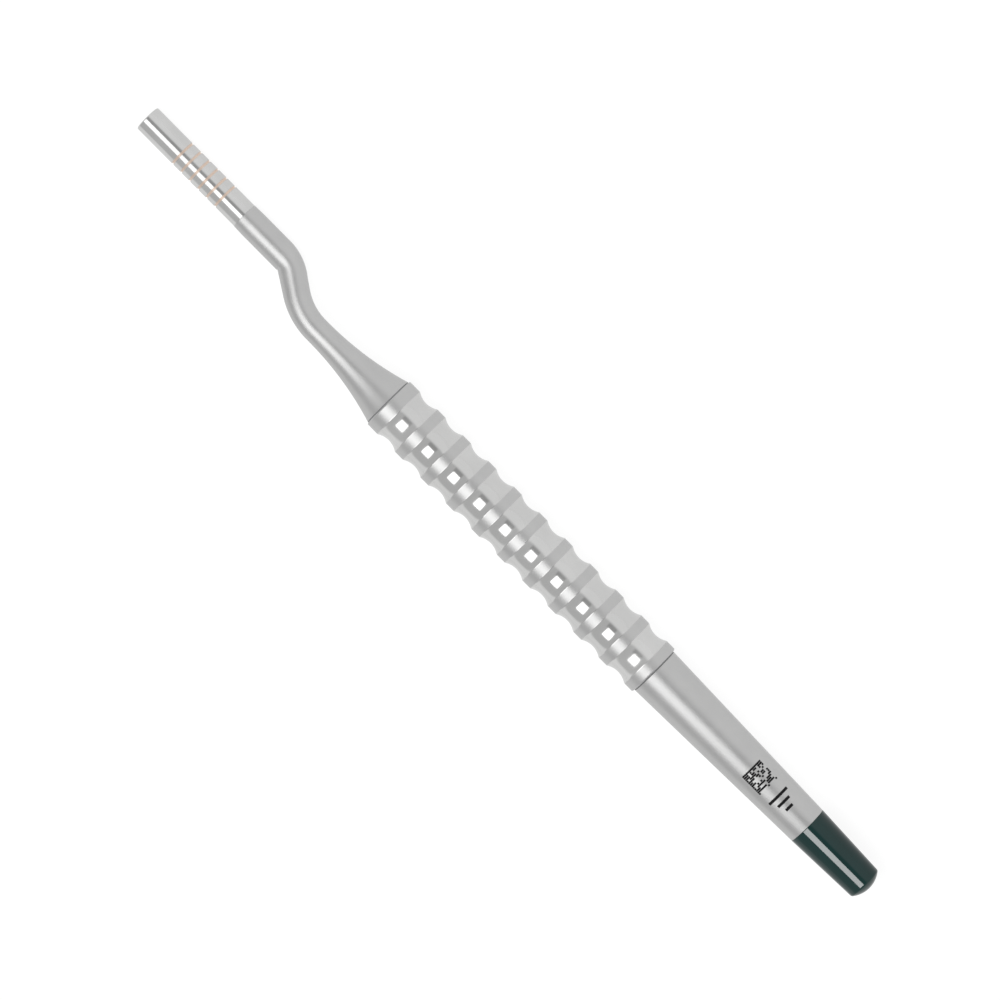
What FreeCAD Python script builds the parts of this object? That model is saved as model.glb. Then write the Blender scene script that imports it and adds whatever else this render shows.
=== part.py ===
import FreeCAD, Part
import math
import os
import re

import Sketcher

# Bayonet bone condenser: a rigid hand instrument that is pushed or tapped into bone.
#
# All pieces of the handle share one axis, and each is drawn along local X, which points to the
# working tip. Local X = 0 is the rear face of the shank's cone, where the grip begins. The shank
# bends towards local -Y and then runs parallel to the handle again: the bayonet.
#
# The Placement that all pieces share lays the instrument on the plane Z = 0. It rests on the
# grip's rings and has rolled over until the offset shank touches the plane too. The origin is
# the middle of the bounding box in X and Y, on that plane. Sizes are in millimetres.

DIMENSIONS = [
    # Working tip, from its end face backwards.
    ("tip_diameter", 4.85, "polished working end"),
    ("tip_length", 23, "end face to the satin shank"),
    ("tip_edge", 0.15, "chamfer round the end face"),
    ("dish_diameter", 3.9, "hollow in the end face"),
    ("dish_depth", 0.5, "depth of that hollow"),
    ("mark_first", 8.2, "end face to the front edge of the first depth mark"),
    ("mark_pitch", 2, "depth mark to depth mark"),
    ("mark_count", 6, "number of depth marks"),
    ("mark_width", 0.42, "width of a depth mark"),
    ("mark_depth", 0.2, "depth of its groove"),
    ("enamel_thickness", 0.04, "colour in the bottom of the groove"),
    ("tip_spigot_diameter", 3, "the part of the tip inside the shank"),
    ("tip_spigot_length", 7, "its length"),
    # Bayonet shank.
    ("bayonet_offset", 4.85, "handle axis to tip axis"),
    ("shank_reach", 38.85, "rear face of the cone to the tip's shoulder"),
    ("shank_diameter", 5.02, "straight stretch behind the tip"),
    ("nose_diameter", 4.9, "shank where it meets the tip"),
    ("nose_length", 1.9, "taper between those two diameters"),
    ("neck_diameter", 4.57, "thinnest place, in front of the cone"),
    ("bend_place", 24.3, "rear face of the cone to the middle of the bayonet"),
    ("bend_slope", 31.3, "slope of the bayonet in degrees"),
    ("bend_radius", 9.3, "both bends, on the centre line"),
    ("cone_length", 16.45, "neck to the rear face"),
    ("cone_diameter", 9.42, "at the rear face"),
    ("cone_edge", 0.15, "broken edge at the rear face"),
    ("stud_diameter", 5.46, "shank's stud inside the grip"),
    ("stud_length", 14, "its length"),
    # Grip sleeve.
    ("ring_diameter", 10, "outside of the rings"),
    ("ring_pitch", 6.03, "ring to ring"),
    ("collar_width", 2.48, "the front ring, which is wider"),
    ("scallop_count", 10, "finger hollows between the rings"),
    ("scallop_width", 4.04, "width of a hollow"),
    ("scallop_depth", 0.61, "its depth"),
    ("ring_edge", 0.22, "rounding of the rings' edges"),
    ("grip_length", 62.8, "length of the sleeve"),
    ("grip_bore", 5.5, "hole through the sleeve"),
    # Tail sleeve.
    ("tail_length", 36.2, "satin length behind the grip"),
    ("tail_diameter", 9.1, "at the grip"),
    ("tail_end_diameter", 7.25, "at the cap"),
    ("tail_bore", 4.1, "hole through the sleeve"),
    ("tail_stud_length", 8, "its stud inside the grip"),
    ("tail_neck_diameter", 5.4, "its neck inside the cap"),
    ("tail_neck_length", 5, "length of that neck"),
    # Strike cap.
    ("cap_length", 14.75, "skirt to the top of the dome"),
    ("cap_diameter", 7.3, "at the skirt"),
    ("cap_end_diameter", 6.22, "where the dome begins"),
    ("dome_height", 1.15, "rise of the dome"),
    ("cap_edge", 0.5, "rounding between side and dome"),
    ("cap_bore", 5.46, "hollow of the cap"),
    ("cap_bore_depth", 9.4, "its depth"),
    # Tie rod and what it clamps with.
    ("rod_diameter", 4, "tie rod inside the sleeves"),
    ("thread_diameter", 3, "both threaded ends of the rod"),
    ("thread_clearance", 0.02, "radial clearance round a thread"),
    ("thread_engagement", 9.5, "rod screwed into the shank"),
    ("rod_overhang", 9, "rod end behind the tail's rear face"),
    ("nut_diameter", 5, "round nut"),
    ("nut_length", 3, "its length"),
    ("nut_slot", 1, "driver slot, width and depth"),
    ("washer_thickness", 0.4, "split washer under the nut"),
    ("washer_gap", 0.5, "the split"),
    # Pins and seals.
    ("dowel_diameter", 1.2, "cross pin through stud and rod"),
    ("dowel_place", 9, "rear face of the cone to the cross pin"),
    ("pin_diameter", 1, "anti-turn pin between shank and grip"),
    ("pin_circle", 3.45, "its distance from the axis"),
    ("pin_in_shank", 1.3, "its length in the cone"),
    ("pin_in_grip", 2, "its length in the grip"),
    ("pin_clearance", 0.02, "radial clearance round both pins"),
    ("seal_thickness", 0.15, "flat seal at each end of the grip"),
    ("seal_inset", 0.15, "how far a seal stays inside the edges"),
    ("ring_seal_width", 0.9, "rubber ring under the cap"),
    ("ring_seal_groove", 0.45, "depth of its groove"),
    ("ring_seal_place", 2, "cap's skirt to the groove"),
]

doc = FreeCAD.newDocument("bone_condenser")
sheet = doc.addObject("Spreadsheet::Sheet", "Dims")
for row, (alias, size, meaning) in enumerate(DIMENSIONS, 1):
    sheet.set(f"A{row}", alias)
    sheet.set(f"B{row}", str(size))
    sheet.set(f"C{row}", meaning)
    sheet.setAlias(f"B{row}", alias)
doc.recompute()
ALIASES = {alias for alias, size, meaning in DIMENSIONS}

# Places along the local X axis, as expressions of the sheet.
GRIP_FRONT = "(-seal_thickness)"
GRIP_REAR = f"({GRIP_FRONT} - grip_length)"
TAIL_FRONT = f"({GRIP_REAR} - seal_thickness)"
TAIL_REAR = f"({TAIL_FRONT} - tail_length)"
NECK_REAR = f"({TAIL_REAR} - tail_neck_length)"
CAP_REAR = f"({TAIL_REAR} - cap_length)"

# The roll that brings the offset shank down to the plane, and the place of the local origin.
ROLL = "asin((ring_diameter - shank_diameter) / 2 / bayonet_offset)"
ORIGIN_X = f"-({CAP_REAR} + shank_reach + tip_length) / 2"
ORIGIN_Y = f"(bayonet_offset * cos({ROLL}) + shank_diameter / 2 - ring_diameter / 2) / 2"
ORIGIN_Z = "ring_diameter / 2"


def bound(text):
    """The expression as an object outside the sheet has to write it."""
    return re.sub(r"[a-z]\w*", lambda m: "Dims." + m[0] if m[0] in ALIASES else m[0], text)


def number(text):
    """The expression's value now."""
    return float(sheet.evalExpression(text))


def new_body(label):
    """An empty body, already in its place on the surface."""
    body = doc.addObject("PartDesign::Body", label)
    body.Label = label
    body.Placement = FreeCAD.Placement(
        FreeCAD.Vector(0, 0, 0), FreeCAD.Rotation(FreeCAD.Vector(1, 0, 0), 1)
    )
    body.setExpression("Placement.Rotation.Angle", bound(ROLL))
    body.setExpression("Placement.Base.x", bound(ORIGIN_X))
    body.setExpression("Placement.Base.y", bound(ORIGIN_Y))
    body.setExpression("Placement.Base.z", bound(ORIGIN_Z))
    return body


def origin_part(body, role):
    return next(f for f in body.Origin.OriginFeatures if f.Role == role)


def new_sketch(body, name, role, lift=None):
    """A sketch on one of the body's own planes, raised along that plane's normal."""
    sketch = body.newObject("Sketcher::SketchObject", name)
    sketch.AttachmentSupport = [(origin_part(body, role), "")]
    sketch.MapMode = "FlatFace"
    if lift:
        sketch.setExpression("AttachmentOffset.Base.z", bound(lift))
    return sketch


def fix_size(sketch, kind, *arguments):
    """Adds a dimension whose last argument is an expression of the sheet."""
    *where, text = arguments
    index = sketch.addConstraint(Sketcher.Constraint(kind, *where, number(text)))
    sketch.setExpression(f"Constraints[{index}]", bound(text))


def fix_point(sketch, geometry, end, x, y):
    """Ties one point of the sketch to two expressions of the sheet."""
    for kind, text, axis in (("DistanceX", x, -2), ("DistanceY", y, -1)):
        if abs(number(text)) < 1e-9:
            sketch.addConstraint(Sketcher.Constraint("PointOnObject", geometry, end, axis))
        else:
            fix_size(sketch, kind, -1, 1, geometry, end, text)


def draw_outline(sketch, corners):
    """A closed outline through corners (x, y) or (x, y, radius).

    A radius makes the stretch from that corner to the next an arc. It is positive where the arc
    turns to the left and negative where it turns to the right.
    """
    points = [FreeCAD.Vector(number(c[0]), number(c[1]), 0) for c in corners]
    first = sketch.GeometryCount
    for i, corner in enumerate(corners):
        start, end = points[i], points[(i + 1) % len(points)]
        if len(corner) == 2:
            sketch.addGeometry(Part.LineSegment(start, end), False)
            continue
        radius = number(corner[2])
        half = (end - start) * 0.5
        across = FreeCAD.Vector(-half.y, half.x, 0).normalize()
        rise = abs(radius) - (max(radius**2 - half.Length**2, 0)) ** 0.5
        side = -1 if radius > 0 else 1
        middle = start + half + across * (rise * side)
        sketch.addGeometry(Part.ArcOfCircle(start, middle, end), False)
    for i, corner in enumerate(corners):
        here, after = first + i, first + (i + 1) % len(corners)
        arc = len(corner) == 3
        # An arc is stored anticlockwise, so one that turns right ends at its own start point.
        leaves = 2 if not arc or number(corner[2]) > 0 else 1
        following = corners[(i + 1) % len(corners)]
        arrives = 1 if len(following) == 2 or number(following[2]) > 0 else 2
        sketch.addConstraint(Sketcher.Constraint("Coincident", here, leaves, after, arrives))
        fix_point(sketch, here, 3 - leaves, corner[0], corner[1])
        if arc:
            fix_size(sketch, "Radius", here, f"abs({corner[2]})")


def lathe(body, name, corners, cut=False, drop=None):
    """Turns a half outline (x, radius) about the handle axis, or about an axis dropped to -Y."""
    sketch = new_sketch(body, name + "_outline", "XY_Plane")
    axis = "H_Axis"
    if drop:
        corners = [(c[0], f"{c[1]} - {drop}") + tuple(c[2:]) for c in corners]
    draw_outline(sketch, corners)
    if drop:
        line = sketch.addGeometry(
            Part.LineSegment(
                FreeCAD.Vector(0, -number(drop), 0), FreeCAD.Vector(1, -number(drop), 0)
            ),
            True,
        )
        sketch.addConstraint(Sketcher.Constraint("Horizontal", line))
        fix_point(sketch, line, 1, "0", f"-{drop}")
        sketch.addConstraint(Sketcher.Constraint("DistanceX", line, 1, line, 2, 1))
        axis = "Axis0"
    kind = "PartDesign::Groove" if cut else "PartDesign::Revolution"
    before = removed_from(body) if cut else 0
    turned = body.newObject(kind, name)
    turned.Profile = sketch
    turned.ReferenceAxis = (sketch, [axis])
    turned.Angle = 360
    doc.recompute()
    if cut and turned.Shape.Volume > before - 1e-6:
        raise SystemExit(f"{name} cut nothing")
    return turned


def removed_from(body):
    """Volume of the body before a cut, to be sure afterwards that the cut cut something."""
    doc.recompute()
    return body.Tip.Shape.Volume


def draw_circle(sketch, x, y, diameter):
    centre = FreeCAD.Vector(number(x), number(y), 0)
    circle = Part.Circle(centre, FreeCAD.Vector(0, 0, 1), number(diameter) / 2)
    index = sketch.addGeometry(circle, False)
    fix_point(sketch, index, 3, x, y)
    fix_size(sketch, "Diameter", index, diameter)


def pocket(body, name, sketch, length, both_ways=False, towards_normal=False):
    """A pocket from the sketch, against its normal unless told otherwise."""
    before = removed_from(body)
    cut = body.newObject("PartDesign::Pocket", name)
    cut.Profile = sketch
    cut.setExpression("Length", bound(length))
    if both_ways:
        cut.Midplane = True
    cut.Reversed = towards_normal
    doc.recompute()
    if cut.Shape.Volume > before - 1e-6:
        raise SystemExit(f"{name} cut nothing")
    return cut


def pad(body, name, sketch, length, both_ways=False):
    """A pad along the sketch's normal, or half to each side of it."""
    raised = body.newObject("PartDesign::Pad", name)
    raised.Profile = sketch
    raised.setExpression("Length", bound(length))
    if both_ways:
        raised.Midplane = True
    return raised


def repeat(body, name, feature, count, pitch, backwards=False):
    """Repeats a feature along the handle axis."""
    row = body.newObject("PartDesign::LinearPattern", name)
    row.Originals = [feature]
    row.Direction = (origin_part(body, "X_Axis"), [""])
    row.Reversed = backwards
    row.setExpression("Occurrences", bound(count))
    row.setExpression("Length", bound(f"({count} - 1) * {pitch}"))
    body.Tip = row
    doc.recompute()
    return row


def round_edges(body, name, size, wanted, kind="Fillet"):
    """Rounds or chamfers every edge of the body for which wanted(edge) is true."""
    doc.recompute()
    base = body.Tip
    names = [f"Edge{i}" for i, edge in enumerate(base.Shape.Edges, 1) if wanted(edge)]
    if not names:
        raise SystemExit(f"{name} found no edge")
    edge_break = body.newObject("PartDesign::" + kind, name)
    edge_break.Base = (base, names)
    edge_break.setExpression("Radius" if kind == "Fillet" else "Size", bound(size))
    body.Tip = edge_break
    doc.recompute()
    return edge_break


def is_circle(diameter, x=None):
    """A test for round edges of that diameter, and at that place on the local X axis."""

    def wanted(edge):
        if edge.Degenerated or not hasattr(edge.Curve, "Radius"):
            return False
        if abs(edge.Curve.Radius - number(diameter) / 2) > 1e-4:
            return False
        return x is None or abs(edge.Curve.Center.x - number(x)) < 1e-4

    return wanted


def sphere_radius(chord, height):
    """Expression for the radius of an arc that rises by height over half a chord."""
    return f"(({chord})^2 + ({height})^2) / (2 * ({height}))"


# ------------------------------------------------------------------ the working end


def put_on_tip_axis(body):
    """Moves a body drawn about its own X axis to the front end of the shank."""
    body.setExpression("Placement.Base.x", bound(f"{ORIGIN_X} + shank_reach"))
    body.setExpression("Placement.Base.y", bound(f"{ORIGIN_Y} - bayonet_offset * cos({ROLL})"))
    body.setExpression("Placement.Base.z", bound(f"{ORIGIN_Z} - bayonet_offset * sin({ROLL})"))


def make_working_tip():
    """Polished round bar with a dished end and six depth grooves, X = 0 at its shoulder."""
    body = new_body("working_tip")
    put_on_tip_axis(body)
    dish = f"-({sphere_radius('dish_diameter / 2', 'dish_depth')})"
    lathe(body, "bar", [
        ("-tip_spigot_length", "0"),
        ("tip_length - dish_depth", "0", dish),
        ("tip_length", "dish_diameter / 2"),
        ("tip_length", "tip_diameter / 2"),
        ("0", "tip_diameter / 2"),
        ("0", "tip_spigot_diameter / 2"),
        ("-tip_spigot_length", "tip_spigot_diameter / 2"),
    ])
    groove = lathe(body, "depth_mark", [
        ("tip_length - mark_first - mark_width", "tip_diameter / 2 - mark_depth"),
        ("tip_length - mark_first", "tip_diameter / 2 - mark_depth"),
        ("tip_length - mark_first", "tip_diameter / 2 + mark_depth"),
        ("tip_length - mark_first - mark_width", "tip_diameter / 2 + mark_depth"),
    ], cut=True)
    repeat(body, "depth_marks", groove, "mark_count", "mark_pitch", backwards=True)
    round_edges(body, "end_edge", "tip_edge", is_circle("tip_diameter", "tip_length"), "Chamfer")
    return body


def make_depth_mark_enamel():
    """Thin rings of colour, one in the bottom of each depth groove."""
    body = new_body("depth_mark_enamel")
    put_on_tip_axis(body)
    floor = "tip_diameter / 2 - mark_depth"
    ring = lathe(body, "colour_ring", [
        ("tip_length - mark_first - mark_width", floor),
        ("tip_length - mark_first", floor),
        ("tip_length - mark_first", f"{floor} + enamel_thickness"),
        ("tip_length - mark_first - mark_width", f"{floor} + enamel_thickness"),
    ])
    repeat(body, "colour_rings", ring, "mark_count", "mark_pitch", backwards=True)
    return body


# ------------------------------------------------------------------ the shank

BEND_START = (
    "(bend_place - bayonet_offset / 2 / tan(bend_slope * 1deg)"
    " - bend_radius * tan(bend_slope / 2 * 1deg))"
)
BEND_END = (
    "(bend_place + bayonet_offset / 2 / tan(bend_slope * 1deg)"
    " + bend_radius * tan(bend_slope / 2 * 1deg))"
)
SHANK_PIPE_END = f"({BEND_END} + 0.2)"


def draw_bayonet_path(body):
    """Centre line of the bend: handle axis, arc, slope, arc, tip axis."""
    sketch = new_sketch(body, "bayonet_path", "XY_Plane")
    start, neck, end = number(BEND_START), number("cone_length"), number(BEND_END)
    last = number(SHANK_PIPE_END)
    offset, radius = number("bayonet_offset"), number("bend_radius")
    slope = FreeCAD.Rotation(FreeCAD.Vector(0, 0, 1), number("bend_slope"))
    lever = slope.inverted().multVec(FreeCAD.Vector(0, radius, 0))
    low_centre = FreeCAD.Vector(start, -radius, 0)
    high_centre = FreeCAD.Vector(end, radius - offset, 0)
    slope_start = low_centre + lever
    slope_end = high_centre - lever
    up = FreeCAD.Vector(0, 0, 1)
    turn = math.radians(number("bend_slope"))
    quarter = math.pi / 2
    sketch.addGeometry([
        Part.LineSegment(FreeCAD.Vector(neck, 0, 0), FreeCAD.Vector(start, 0, 0)),
        Part.ArcOfCircle(Part.Circle(low_centre, up, radius), quarter - turn, quarter),
        Part.LineSegment(slope_start, slope_end),
        Part.ArcOfCircle(Part.Circle(high_centre, up, radius), 3 * quarter - turn, 3 * quarter),
        Part.LineSegment(FreeCAD.Vector(end, -offset, 0), FreeCAD.Vector(last, -offset, 0)),
    ], False)
    for tie in (
        ("Tangent", 0, 2, 1, 2),
        ("Tangent", 1, 1, 2, 1),
        ("Tangent", 2, 2, 3, 1),
        ("Tangent", 3, 2, 4, 1),
        ("PointOnObject", 0, 1, -1),
        ("Horizontal", 0),
        ("Horizontal", 4),
        ("Equal", 1, 3),
    ):
        sketch.addConstraint(Sketcher.Constraint(*tie))
    fix_size(sketch, "DistanceX", -1, 1, 0, 1, "cone_length")
    fix_size(sketch, "DistanceX", -1, 1, 0, 2, BEND_START)
    fix_size(sketch, "Radius", 1, "bend_radius")
    fix_point(sketch, 4, 2, SHANK_PIPE_END, "-bayonet_offset")
    fix_size(sketch, "DistanceX", -1, 1, 4, 1, BEND_END)
    return sketch


def make_bayonet_shank():
    """Satin shank: stud, flared cone, bayonet bend, and the straight nose that holds the tip."""
    body = new_body("bayonet_shank")
    rise = "(cone_diameter - neck_diameter) / 2"
    flare = f"-({sphere_radius('cone_length', rise)})"
    hole = "thread_diameter / 2 + thread_clearance"
    lathe(body, "cone_and_stud", [
        ("-stud_length", hole),
        ("-(stud_length - thread_engagement - 0.5)", hole),
        ("-(stud_length - thread_engagement - 1)", "0"),
        ("cone_length", "0"),
        ("cone_length", "neck_diameter / 2", flare),
        ("0", "cone_diameter / 2"),
        ("0", "stud_diameter / 2"),
        ("-stud_length", "stud_diameter / 2"),
    ])
    neck_circle = new_sketch(body, "neck_circle", "YZ_Plane", "cone_length")
    draw_circle(neck_circle, "0", "0", "neck_diameter")
    shank_circle = new_sketch(body, "shank_circle", "YZ_Plane", SHANK_PIPE_END)
    draw_circle(shank_circle, "-bayonet_offset", "0", "shank_diameter")
    path = draw_bayonet_path(body)
    doc.recompute()
    bend = body.newObject("PartDesign::AdditivePipe", "bayonet")
    bend.Profile = neck_circle
    bend.Spine = path
    bend.Sections = [shank_circle]
    bend.Transformation = "Multisection"
    doc.recompute()
    lathe(body, "nose", [
        (SHANK_PIPE_END, "0"),
        ("shank_reach - tip_spigot_length", "0"),
        ("shank_reach - tip_spigot_length", "tip_spigot_diameter / 2"),
        ("shank_reach", "tip_spigot_diameter / 2"),
        ("shank_reach", "nose_diameter / 2"),
        ("shank_reach - nose_length", "shank_diameter / 2"),
        (SHANK_PIPE_END, "shank_diameter / 2"),
    ], drop="bayonet_offset")
    round_edges(body, "cone_edge_break", "cone_edge", is_circle("cone_diameter", "0"))
    cross = new_sketch(body, "dowel_hole_circle", "XY_Plane")
    draw_circle(cross, "-dowel_place", "0", "dowel_diameter + 2 * pin_clearance")
    pocket(body, "dowel_hole", cross, "2 * stud_diameter", both_ways=True)
    socket = new_sketch(body, "pin_hole_circle", "YZ_Plane")
    draw_circle(socket, "0", "pin_circle", "pin_diameter + 2 * pin_clearance")
    pocket(body, "pin_hole", socket, "pin_in_shank + 0.1", towards_normal=True)
    return body


# ------------------------------------------------------------------ the sleeves of the handle


def make_grip_sleeve():
    """Steel sleeve with eleven rings and ten finger hollows between them."""
    body = new_body("grip_sleeve")
    lathe(body, "sleeve", [
        (GRIP_FRONT, "grip_bore / 2"),
        (GRIP_FRONT, "ring_diameter / 2"),
        (GRIP_REAR, "ring_diameter / 2"),
        (GRIP_REAR, "grip_bore / 2"),
    ])
    front = f"({GRIP_FRONT} - collar_width)"
    curve = sphere_radius("scallop_width / 2", "scallop_depth")
    scallop = lathe(body, "scallop", [
        (front, "ring_diameter / 2", f"-({curve})"),
        (f"{front} - scallop_width", "ring_diameter / 2"),
        (f"{front} - scallop_width", "ring_diameter / 2 + scallop_depth"),
        (front, "ring_diameter / 2 + scallop_depth"),
    ], cut=True)
    repeat(body, "scallops", scallop, "scallop_count", "ring_pitch", backwards=True)
    round_edges(body, "ring_edges", "ring_edge", is_circle("ring_diameter"))
    round_edges(body, "bore_edges", "cone_edge", is_circle("grip_bore"), "Chamfer")
    socket = new_sketch(body, "pin_hole_circle", "YZ_Plane", GRIP_FRONT)
    draw_circle(socket, "0", "pin_circle", "pin_diameter + 2 * pin_clearance")
    pocket(body, "pin_hole", socket, "pin_in_grip + 0.1")
    return body


def make_tail_sleeve():
    """Satin tapered sleeve behind the grip, with a stud in front and the cap's neck behind."""
    body = new_body("tail_sleeve")
    stud_front = f"({TAIL_FRONT} + tail_stud_length)"
    groove_front = f"({TAIL_REAR} - ring_seal_place)"
    groove_rear = f"({groove_front} - ring_seal_width - 0.1)"
    groove_floor = "tail_neck_diameter / 2 - ring_seal_groove"
    lathe(body, "sleeve", [
        (stud_front, "tail_bore / 2"),
        (stud_front, "stud_diameter / 2"),
        (TAIL_FRONT, "stud_diameter / 2"),
        (TAIL_FRONT, "tail_diameter / 2"),
        (TAIL_REAR, "tail_end_diameter / 2"),
        (TAIL_REAR, "tail_neck_diameter / 2"),
        (groove_front, "tail_neck_diameter / 2"),
        (groove_front, groove_floor),
        (groove_rear, groove_floor),
        (groove_rear, "tail_neck_diameter / 2"),
        (NECK_REAR, "tail_neck_diameter / 2"),
        (NECK_REAR, "tail_bore / 2"),
    ])
    round_edges(body, "front_edge", "cone_edge", is_circle("tail_diameter", TAIL_FRONT))
    round_edges(body, "stud_edge", "cone_edge", is_circle("stud_diameter", stud_front), "Chamfer")
    return body


def make_strike_cap():
    """Coloured cap over the end of the tail: tapered, hollow in front, domed behind."""
    body = new_body("strike_cap")
    dome_edge = f"({CAP_REAR} + dome_height)"
    floor = f"({TAIL_REAR} - cap_bore_depth)"
    lathe(body, "cap", [
        (TAIL_REAR, "cap_bore / 2"),
        (TAIL_REAR, "cap_diameter / 2"),
        (dome_edge, "cap_end_diameter / 2", sphere_radius("cap_end_diameter / 2", "dome_height")),
        (CAP_REAR, "0"),
        (floor, "0"),
        (floor, "cap_bore / 2"),
    ])
    round_edges(body, "dome_round", "cap_edge", is_circle("cap_end_diameter", dome_edge))
    round_edges(body, "skirt_round", "cone_edge", is_circle("cap_diameter", TAIL_REAR))
    return body


# ------------------------------------------------------------------ what holds it together


def make_tie_rod():
    """Rod screwed into the shank, which pulls both sleeves against it."""
    body = new_body("tie_rod")
    front = "-(stud_length - thread_engagement)"
    rod_end = f"({NECK_REAR} + 1)"
    end = f"({TAIL_REAR} - rod_overhang)"
    lathe(body, "rod", [
        (front, "0"),
        (front, "thread_diameter / 2"),
        ("-stud_length", "thread_diameter / 2"),
        ("-stud_length", "rod_diameter / 2"),
        (rod_end, "rod_diameter / 2"),
        (rod_end, "thread_diameter / 2"),
        (end, "thread_diameter / 2"),
        (end, "0"),
    ])
    round_edges(body, "thread_ends", "2 * cone_edge", is_circle("thread_diameter", end), "Chamfer")
    cross = new_sketch(body, "dowel_hole_circle", "XY_Plane")
    draw_circle(cross, "-dowel_place", "0", "dowel_diameter + 2 * pin_clearance")
    pocket(body, "dowel_hole", cross, "2 * rod_diameter", both_ways=True)
    return body


def make_lock_washer():
    """Split ring between the tail's neck and the nut."""
    body = new_body("lock_washer")
    rear = f"({NECK_REAR} - washer_thickness)"
    hole = "thread_diameter / 2 + thread_clearance"
    lathe(body, "ring", [
        (NECK_REAR, hole),
        (NECK_REAR, "nut_diameter / 2"),
        (rear, "nut_diameter / 2"),
        (rear, hole),
    ])
    split = new_sketch(body, "split_outline", "YZ_Plane", NECK_REAR)
    draw_outline(split, [
        ("-washer_gap / 2", "0.5"),
        ("washer_gap / 2", "0.5"),
        ("washer_gap / 2", "nut_diameter"),
        ("-washer_gap / 2", "nut_diameter"),
    ])
    pocket(body, "split", split, "2 * washer_thickness")
    return body


def make_clamp_nut():
    """Round nut on the rod's rear thread, with a slot for a two-pronged driver."""
    body = new_body("clamp_nut")
    front = f"({NECK_REAR} - washer_thickness)"
    rear = f"({front} - nut_length)"
    hole = "thread_diameter / 2 + thread_clearance"
    lathe(body, "ring", [
        (front, hole),
        (front, "nut_diameter / 2"),
        (rear, "nut_diameter / 2"),
        (rear, hole),
    ])
    round_edges(body, "rim", "cone_edge", is_circle("nut_diameter"), "Chamfer")
    slot = new_sketch(body, "slot_outline", "YZ_Plane", rear)
    draw_outline(slot, [
        ("-nut_slot / 2", "-nut_diameter"),
        ("nut_slot / 2", "-nut_diameter"),
        ("nut_slot / 2", "nut_diameter"),
        ("-nut_slot / 2", "nut_diameter"),
    ])
    pocket(body, "slot", slot, "nut_slot", towards_normal=True)
    return body


def make_shank_dowel():
    """Cross pin that stops the tie rod from unscrewing."""
    body = new_body("shank_dowel")
    circle = new_sketch(body, "circle", "XY_Plane")
    draw_circle(circle, "-dowel_place", "0", "dowel_diameter")
    pad(body, "pin", circle, "stud_diameter - 4 * pin_clearance", both_ways=True)
    round_edges(body, "ends", "cone_edge", is_circle("dowel_diameter"), "Chamfer")
    return body


def make_anti_turn_pin():
    """Short pin along the axis that stops the grip from turning on the shank."""
    body = new_body("anti_turn_pin")
    circle = new_sketch(body, "circle", "YZ_Plane", f"{GRIP_FRONT} - pin_in_grip")
    draw_circle(circle, "0", "pin_circle", "pin_diameter")
    pad(body, "pin", circle, "pin_in_grip + seal_thickness + pin_in_shank")
    round_edges(body, "ends", "cone_edge", is_circle("pin_diameter"), "Chamfer")
    return body


# ------------------------------------------------------------------ seals


def make_front_seal():
    """Flat seal between the cone and the grip, with a hole for the anti-turn pin."""
    body = new_body("front_seal")
    lathe(body, "washer", [
        ("0", "grip_bore / 2"),
        ("0", "cone_diameter / 2 - seal_inset"),
        (GRIP_FRONT, "cone_diameter / 2 - seal_inset"),
        (GRIP_FRONT, "grip_bore / 2"),
    ])
    hole = new_sketch(body, "pin_hole_circle", "YZ_Plane")
    draw_circle(hole, "0", "pin_circle", "pin_diameter + 2 * pin_clearance")
    pocket(body, "pin_hole", hole, "2 * seal_thickness")
    return body


def make_rear_seal():
    """Flat seal between the grip and the tail."""
    body = new_body("rear_seal")
    lathe(body, "washer", [
        (GRIP_REAR, "grip_bore / 2"),
        (GRIP_REAR, "tail_diameter / 2 - seal_inset"),
        (TAIL_FRONT, "tail_diameter / 2 - seal_inset"),
        (TAIL_FRONT, "grip_bore / 2"),
    ])
    return body


def make_cap_seal():
    """Rubber ring in the groove of the tail's neck, squeezed by the cap."""
    body = new_body("cap_seal")
    floor = "tail_neck_diameter / 2 - ring_seal_groove"
    bulge = "ring_seal_width / 6"
    side = sphere_radius(f"(cap_bore / 2 - ({floor})) / 2", bulge)
    front = f"({TAIL_REAR} - ring_seal_place - 0.05 - {bulge})"
    rear = f"({TAIL_REAR} - ring_seal_place - 0.05 - ring_seal_width + {bulge})"
    lathe(body, "ring", [
        (rear, floor),
        (front, floor, side),
        (front, "cap_bore / 2"),
        (rear, "cap_bore / 2", side),
    ])
    return body


bodies = [
    make_working_tip(),
    make_depth_mark_enamel(),
    make_bayonet_shank(),
    make_shank_dowel(),
    make_anti_turn_pin(),
    make_front_seal(),
    make_grip_sleeve(),
    make_tie_rod(),
    make_rear_seal(),
    make_tail_sleeve(),
    make_lock_washer(),
    make_clamp_nut(),
    make_cap_seal(),
    make_strike_cap(),
]
doc.recompute()

failed = [o.Name for o in doc.Objects if {"Invalid", "Error"} & set(o.State)]
failed += [b.Label for b in bodies if b.Shape.isNull() or not b.Shape.isValid()]
if failed:
    raise SystemExit(f"these objects failed: {failed}")

os.makedirs("parts", exist_ok=True)
whole = FreeCAD.BoundBox()
for body in bodies:
    body.Shape.exportStep(f"parts/{body.Label}.step")
    whole.add(body.Shape.BoundBox)
    print(f"{body.Label:18s} {len(body.Shape.Solids)} solid(s) {body.Shape.Volume:9.2f} mm3")
print("whole", whole)
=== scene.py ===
# %% [markdown]
# # A bayonet bone condenser
#
# This notebook dresses one finished instrument: a dentist's bone condenser, a steel rod with a
# cranked neck, a ringed grip and a green cap. Its measured model is the frame. It is loaded
# first, and everything we make is placed from it, in metres.
#
# The frame's own meshes are right in size, but their round faces are made of few, long triangles,
# and polished steel shows each one. So every visible part is turned again here on a finer lathe.

import math
import random

import bpy
from mathutils import Matrix, Vector


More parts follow.
